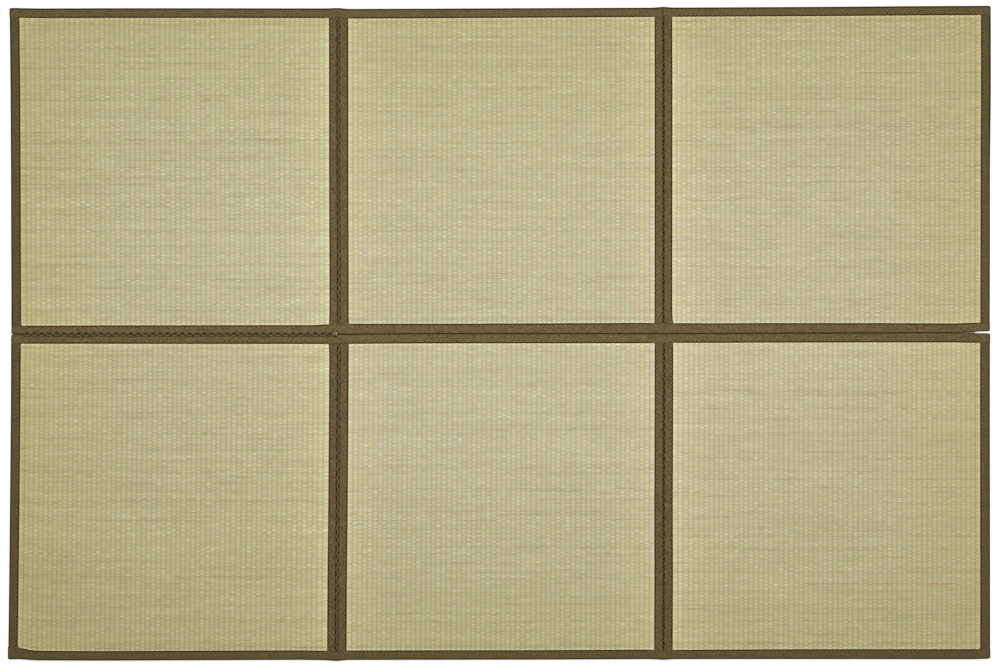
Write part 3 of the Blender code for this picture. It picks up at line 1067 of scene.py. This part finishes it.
def rush_material():
    """Plain-woven rush: pale over each warp, darker where it dives, each rush its own tone. The pale and
    the dark of the weave are painted light and shade.
    """
    s = Shader("rush_weave")
    u, v, seed = s.attribute("weave")
    across, along, edge = s.attribute("spot")
    tone_green, tone_red, tone_blue = s.attribute("tone")
    column = s.maths("FLOOR", u)
    pick = s.maths("FLOOR", v)
    in_column = s.less(u, column)
    in_pick = s.less(v, pick)
    parity = s.times(s.maths("FRACT", s.times(s.add(column, pick), 0.5)), 2.0)
    column_bulge = rounded(s, in_column, 3.6)
    pick_bulge = rounded(s, in_pick, 2.0)
    crest = s.times(s.less(1.0, parity), pick_bulge)

    # Tones of a whole rush, of one visible bit of it and of the line between two rushes
    rush = s.times(s.chance(s.vector(pick, seed)), 300.0)
    rush_light = s.noise(s.vector(s.times(u, 0.05), rush, s.add(seed, 40.0)), 1.0, 1.0)
    rush_hue = s.noise(s.vector(s.times(u, 0.35), s.times(v, 0.20), seed), 1.0, 2.0)
    rush_yellow = s.noise(s.vector(s.times(u, 0.35), s.times(v, 0.20), s.add(seed, 70.0)), 1.0, 2.0)
    column_hue = s.noise(s.vector(s.times(column, 3.7), s.times(v, 0.10), s.add(seed, 90.0)), 1.0, 1.0)
    bit = s.chance(s.vector(column, pick, seed))
    stain = s.noise(s.vector(s.times(u, 0.20), rush, s.add(seed, 55.0)), 1.0, 1.0)
    boundary = s.maths("FLOOR", s.add(v, 0.5))
    boundary_near = s.maths("ABSOLUTE", s.less(v, boundary))
    boundary_dark = s.ramp(s.chance(s.vector(boundary, seed)), 0.25, 1.0)
    boundary_reach = s.noise(s.vector(s.times(u, 0.15), s.times(boundary, 3.3), seed), 1.0, 1.0)
    groove = s.times(s.ramp(boundary_near, 0.06, 0.36, 1.0, 0.0), boundary_dark)
    groove = s.times(groove, s.ramp(boundary_reach, 0.35, 0.62))
    warp = s.maths("FLOOR", s.add(u, 0.5))
    warp_depth = s.noise(s.vector(s.times(warp, 2.9), s.times(v, 0.06), s.add(seed, 15.0)), 1.0, 1.0)
    valley = s.times(s.less(1.0, column_bulge), about_one(s, warp_depth, 0.6))
    patch = s.noise(s.vector(s.times(u, 0.10), s.times(v, 0.04), s.add(seed, 9.0)), 1.0, 2.0)
    fibre = s.noise(s.vector(s.times(u, 2.2), s.times(v, 4.6), seed), 1.0, 2.0)

    # Glints on the crests of some rushes, in some places
    glossy = s.noise(s.vector(s.times(u, 0.2), rush, s.add(seed, 25.0)), 1.0, 1.0)
    glint = s.times(s.times(s.maths("POWER", crest, 3.0), column_bulge), s.ramp(glossy, 0.46, 0.62))

    # Colours: greener or more of straw, brown marks, lighter near the seams, and a painted highlight
    # along the rim beside the tapes
    # Painted falloff of the sheen: less blue and more red towards the mat's sides and ends
    blue_lost_with_sheen, red_gained_with_sheen, inner = rush_sheen_falloff(s)
    straw = s.ramp(s.add(s.times(rush_hue, 0.85), s.times(column_hue, 0.15)), 0.26, 0.74)
    colour = s.mix(straw, RUSH_GREEN, RUSH_STRAW)
    end_x = s.maths("MINIMUM", across, s.less(1.0, across))
    seam_end = s.times(s.ramp(end_x, 0.0, 0.17, 1.0, 0.0), inner)
    marked = s.add(0.26, s.times(s.less(1.0, inner), 0.28))
    tan = s.times(s.ramp(stain, 0.63, 0.77), marked)
    tan = s.add(tan, s.ramp(rush_yellow, 0.66, 0.78, 0.0, 0.20))
    colour = s.mix(tan, colour, RUSH_TAN)
    # Painted highlight: a pale line along the rim beside the tapes
    rim = s.ramp(edge, 1.7, 3.3, 1.0, 0.0)
    colour = s.mix(s.times(rim, 0.8), colour, RUSH_RIM_HIGHLIGHT)

    # Painted light and shade of the weave: darker in the valleys between columns and at the grooves
    # between rushes, lighter on the crests and their glints, times each rush's own tone. Blue and red
    # then also take the painted falloff of the sheen.
    light = s.less(1.059, s.times(valley, 0.29))
    light = s.times(light, s.add(0.947, s.times(crest, 0.075)))
    light = s.times(light, about_one(s, rush_light, 0.34))
    light = s.times(light, about_one(s, bit, 0.14))
    light = s.times(light, about_one(s, patch, 0.02))
    light = s.times(light, s.less(1.0, s.times(groove, 0.34)))
    light = s.times(light, about_one(s, fibre, 0.12))
    light = s.times(light, s.add(1.0, s.times(glint, 0.26)))
    kept_blue = s.times(about_one(s, rush_yellow, 0.42), s.less(1.0, blue_lost_with_sheen))
    blue = s.times(kept_blue, s.maths("POWER", light, 1.48))
    more_red = s.add(s.add(1.0, red_gained_with_sheen), s.times(seam_end, 0.014))
    red = s.times(more_red, s.maths("POWER", light, 0.90))
    # Painted light on the pad's slope down to the tapes, and the rim's painted highlight, added to the
    # lighter band near the seams
    painted_slope_light = s.ramp(edge, 2.0, 24.0, 1.0, 0.0)
    paler = s.add(1.0, s.times(seam_end, 0.085))
    paler = s.add(paler, s.add(s.times(painted_slope_light, 0.11), s.times(rim, 0.085)))
    green = s.times(s.times(light, paler), tone_green)
    red = s.times(s.times(red, paler), tone_red)
    blue = s.times(s.times(blue, paler), tone_blue)
    tint = s.node("ShaderNodeCombineColor", Red=red, Green=green, Blue=blue).outputs[0]
    s.plug(s.surface.inputs["Base Color"], s.mix(1.0, colour, tint, "MULTIPLY"))

    s.plug(s.surface.inputs["Roughness"], s.add(0.44, s.times(fibre, 0.14)))
    s.surface.inputs["Specular IOR Level"].default_value = 0.8
    stems = s.maths("SINE", s.times(v, 6.0 * pi))
    height = s.add(s.times(crest, 0.5), s.times(column_bulge, 0.5))
    height = s.add(height, s.add(s.times(stems, 0.12), s.times(fibre, 0.25)))
    s.plug(s.surface.inputs["Normal"], s.bump(height, 0.00018))
    return s.material


def spot_shade(s, shift, centre, reach_x, reach_y, strength):
    """Shade in a small round or oval spot of the mat."""
    place = s.node("ShaderNodeTexCoord").outputs["Object"]
    x, y, z = s.node("ShaderNodeSeparateXYZ", Vector=place).outputs
    off_x = s.times(s.less(x, (centre[0] + shift[0]) * MM), 1.0 / (reach_x * MM))
    off_y = s.times(s.less(y, (centre[1] + shift[1]) * MM), 1.0 / (reach_y * MM))
    reach = s.maths("SQRT", s.add(s.times(off_x, off_x), s.times(off_y, off_y)))
    return s.ramp(reach, 0.4, 1.2, strength, 0.0)


def joint_shade(s, joint, phase, across):
    """Shade beside the thread of a joint and in its needle holes."""
    dark = 0.0
    for middle, half_width, strength in joint["bands"]:
        off = s.maths("ABSOLUTE", s.less(across, middle))
        dark = s.maths("MAXIMUM", dark, s.ramp(off, half_width - 0.5, half_width + 0.6, strength, 0.0))
    uneven = s.ramp(s.noise(s.vector(s.times(phase, 1.7), across), 1.0, 1.0), 0.25, 0.5, 0.45, 1.0)
    for aside, share, radius, strength in joint["holes"]:
        turn = s.less(s.maths("FRACT", s.add(phase, 0.5 - share)), 0.5)
        along = s.times(turn, joint["period"])
        off = s.less(across, aside)
        reach = s.maths("SQRT", s.add(s.times(along, along), s.times(off, off)))
        hole = s.ramp(reach, radius - 0.5, radius + 0.6, strength, 0.0)
        dark = s.maths("MAXIMUM", dark, s.times(hole, uneven))
    return dark


def tape_material(name, fold_shade, shift, joint=None):
    """Cotton tape: a fine twill, uneven in tone, with painted shade at its cut edge, its fold and its
    holes.
    """
    s = Shader(name)
    along, inset, edge = s.attribute("layout")
    phase, across, sewn = s.attribute("seam")
    shade, crossing, from_end = s.attribute("tone")

    mottle = s.noise(s.vector(s.times(along, 0.045), s.times(inset, 0.05), 1.0), 1.0, 2.0)
    hue = s.noise(s.vector(s.times(along, 0.065), s.times(inset, 0.10), 3.0), 1.0, 2.0)
    blue = s.noise(s.vector(s.times(along, 0.065), s.times(inset, 0.10), 13.0), 1.0, 2.0)
    grain = s.noise(s.vector(s.times(along, 0.75), s.times(inset, 0.75), 7.0), 1.0, 1.0)
    slant = s.add(s.times(along, 0.5), s.times(inset, 0.5))
    ribs = s.noise(s.vector(slant, s.times(s.less(along, inset), 0.12), 5.0), 1.0, 1.0)
    twill = s.maths("SINE", s.times(s.add(along, inset), 2 * pi / 1.1))
    colour = s.mix(s.ramp(hue, 0.34, 0.66), TAPE_BROWN, TAPE_OLIVE)
    light = s.times(shade, about_one(s, mottle, 0.22))
    light = s.times(light, about_one(s, grain, 1.5))
    light = s.times(light, about_one(s, ribs, 0.45))
    slub = s.vector(s.maths("FLOOR", s.times(slant, 1.25)), s.maths("FLOOR", s.times(inset, 0.62)), 2.0)
    light = s.times(light, about_one(s, s.chance(slub), 0.5 if joint is None else 0.85))
    light = s.times(light, s.add(1.0, s.times(twill, 0.035)))
    tint = s.node(
        "ShaderNodeCombineColor", Red=light, Green=light, Blue=s.times(light, about_one(s, blue, 0.9))
    ).outputs[0]
    colour = s.mix(1.0, colour, tint, "MULTIPLY")

    # Painted shade at the cut edge and in its needle holes, but less where it lies on another tape
    stitch = s.maths("COSINE", s.times(along, 2 * pi / STITCH_PITCH))
    hole = s.times(s.ramp(stitch, 0.0, 0.75), s.ramp(edge, 2.4, 3.9, 1.0, 0.0))
    plain = s.ramp(s.noise(s.vector(s.times(along, 0.007), 4.0), 1.0, 1.0), 0.4, 0.6)
    cut = s.ramp(edge, s.add(1.55, s.times(plain, 0.5)), s.add(2.75, s.times(plain, 0.7)), 0.86, 0.0)
    dark = s.maths("MAXIMUM", cut, s.times(hole, 0.88))
    dark = s.times(dark, s.less(1.0, s.times(crossing, 0.7)))

    # Painted shade at the fold and at the tape's ends
    start, end, strength = fold_shade
    dark = s.maths("MAXIMUM", dark, s.ramp(inset, start, end, strength, 0.0))
    dark = s.maths("MAXIMUM", dark, s.ramp(from_end, 0.9, 2.6, 0.88, 0.0))
    for x, y, reach_x, reach_y, depth in OUTER_SPOTS if joint is None else KNOT_SHADE_SPOTS:
        dark = s.maths("MAXIMUM", dark, spot_shade(s, shift, (x, y), reach_x, reach_y, depth))
    if joint is not None:
        # Painted shade along the joint's fold near the tape's ends, where the joint opens
        gap_shade = s.times(s.ramp(from_end, 30.0, 45.0, 1.0, 0.0), s.ramp(inset, 0.9, 2.5, 0.85, 0.0))
        dark = s.maths("MAXIMUM", dark, gap_shade)
        dark = s.maths("MAXIMUM", dark, s.times(joint_shade(s, joint, phase, across), sewn))
    s.plug(s.surface.inputs["Base Color"], s.mix(dark, colour, TAPE_PAINTED_SHADE))

    s.surface.inputs["Roughness"].default_value = 0.85
    s.surface.inputs["Specular IOR Level"].default_value = 0.1
    height = s.add(s.times(twill, 0.35), s.times(grain, 0.9))
    s.plug(s.surface.inputs["Normal"], s.bump(height, 0.00018))
    return s.material


def thread_material(name, colour):
    """Sewing thread with a fine twist."""
    s = Shader(name)
    place = s.node("ShaderNodeTexCoord").outputs["Object"]
    tone = s.noise(place, 700.0, 2.0)
    s.plug(s.surface.inputs["Base Color"], s.shade(colour, about_one(s, tone, 0.6)))
    s.surface.inputs["Roughness"].default_value = 0.75
    s.surface.inputs["Specular IOR Level"].default_value = 0.12
    return s.material


def floor_material():
    """A pale floor that stays white round the mat and is in shade under it."""
    s = Shader("pale_floor")
    place = s.node("ShaderNodeTexCoord").outputs["Object"]
    tone = s.noise(place, 2.0, 2.0)
    s.plug(s.surface.inputs["Base Color"], s.shade((0.85, 0.85, 0.85, 1.0), about_one(s, tone, 0.04)))
    s.surface.inputs["Roughness"].default_value = 0.9
    x, y, z = s.node("ShaderNodeSeparateXYZ", Vector=place).outputs
    beyond_x = s.ramp(s.maths("ABSOLUTE", x), FLOOR_HALF_X, FLOOR_HALF_X + FLOOR_BLEND)
    beyond_y = s.ramp(s.maths("ABSOLUTE", y), FLOOR_HALF_Y, FLOOR_HALF_Y + FLOOR_BLEND)
    s.surface.inputs["Emission Color"].default_value = (1.0, 1.0, 1.0, 1.0)
    glow = s.times(s.maths("MAXIMUM", beyond_x, beyond_y), FLOOR_GLOW)
    s.plug(s.surface.inputs["Emission Strength"], glow)
    return s.material


# Stage

def add_floor():
    """A wide pale floor under the mat."""
    mesh = bmesh.new()
    bmesh.ops.create_grid(mesh, x_segments=8, y_segments=8, size=8.0)
    data = bpy.data.meshes.new("floor")
    mesh.to_mesh(data)
    mesh.free()
    data.materials.append(floor_material())
    floor = bpy.data.objects.new("floor", data)
    floor.location.z = -0.0002
    bpy.context.scene.collection.objects.link(floor)


def add_softbox():
    """A soft light above the mat, longer than it is wide, that faces straight down."""
    data = bpy.data.lights.new("softbox", "AREA")
    data.shape = "RECTANGLE"
    data.size, data.size_y = SOFTBOX_SIZE
    data.energy = SOFTBOX_POWER
    light = bpy.data.objects.new("softbox", data)
    light.location = SOFTBOX_PLACE
    light.visible_camera = False
    bpy.context.scene.collection.objects.link(light)


def add_world():
    """Even pale surroundings."""
    world = bpy.data.worlds.new("studio")
    world.use_nodes = True
    background = world.node_tree.nodes["Background"]
    background.inputs["Color"].default_value = (1.0, 1.0, 1.0, 1.0)
    background.inputs["Strength"].default_value = FILL_STRENGTH
    bpy.context.scene.world = world


def add_camera():
    """The camera straight above the mat, its frame as wide as the photograph's."""
    data = bpy.data.cameras.new("camera")
    data.sensor_width = SENSOR_WIDTH
    data.lens = SENSOR_WIDTH * (CAMERA_HEIGHT - BOUND_HEIGHT) / FRAME_WIDTH
    data.clip_end = 100.0
    camera = bpy.data.objects.new("camera", data)
    camera.location = Vector((CAMERA_X, CAMERA_Y, CAMERA_HEIGHT)) * MM
    bpy.context.scene.collection.objects.link(camera)
    bpy.context.scene.camera = camera
    bpy.context.scene.view_settings.view_transform = "Standard"


# The whole mat


def dress(piece, shift):
    """Moves a finished piece from the mat's lines to the frame, and lets it ride there."""
    piece.data.transform(Matrix.Translation((shift[0] * MM, shift[1] * MM, 0.0)))
    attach(piece, "root")


def add_tapes(row, shift, cloths, thread):
    """The tapes of one row and the straight sewing along their edges."""
    strips = [side_strip(row, tape) for tape in range(2 * len(COLUMN_NAMES))]
    strips += [long_strip(row, edge) for edge in ("far", "near")]
    beads = []
    for number, strip in enumerate(strips):
        piece = add_strip(strip, cloths[strip["cloth"]], number)
        dress(piece, shift)
        beads += edge_stitches(strip, on_top=True)
        beads += edge_stitches(strip, on_top=False)
    dress(add_beads(f"edge_stitches_{row}", beads, thread), shift)


def add_joint_threads(shift):
    """The sewing that joins the panels of each row, and the two rows on the left."""
    threads = {name: thread_material(f"{name}_thread", joint["thread"]) for name, joint in JOINTS.items()}
    for row in ROW_NAMES:
        for line in (1, 2):
            joint = JOINTS[f"seam_{line}"]
            span = seam_span(row, line)
            thread = threads[f"seam_{line}"]
            lines = []
            for height in ZIGZAG_HEIGHTS:
                seed = 10 * line + ROW_NAMES.index(row)
                lines.append(joint_thread(seam_line(row, line), 0.0, span, joint, height, seed))
            dress(add_threads(f"zigzag_{row}_{line}", lines, joint["width"], thread), shift)
    joint = JOINTS["row"]
    origin = ROW_ZIGZAG_SPAN[0]
    lines = []
    for height in ZIGZAG_HEIGHTS:
        lines.append(joint_thread(row_line, origin, ROW_ZIGZAG_SPAN, joint, height, 9))
    dress(add_threads("zigzag_rows", lines, joint["width"], threads["row"]), shift)


def build():
    """Dresses the whole mat and sets its stage."""
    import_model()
    shift = frame_shift()
    rush = rush_material()
    cloths = {"outer": tape_material("tape_outer", OUTER_FOLD_SHADE, shift)}
    for name, joint in JOINTS.items():
        cloths[name] = tape_material(f"tape_{name}", JOINT_FOLD_SHADE, shift, joint)
    edge_thread = thread_material("edge_thread", EDGE_THREAD)
    tack_thread = thread_material("knot_thread", KNOT_THREAD)

    for row in ROW_NAMES:
        for column in range(len(COLUMN_NAMES)):
            piece = add_panel(row, column, rush)
            dress(piece, shift)
        add_tapes(row, shift, cloths, edge_thread)
    add_joint_threads(shift)
    dress(add_beads("end_knot", knot_beads(), tack_thread), shift)
    dress(add_beads("tacks", tack_beads(), edge_thread), shift)

    add_floor()
    add_world()
    add_softbox()
    add_camera()


build()
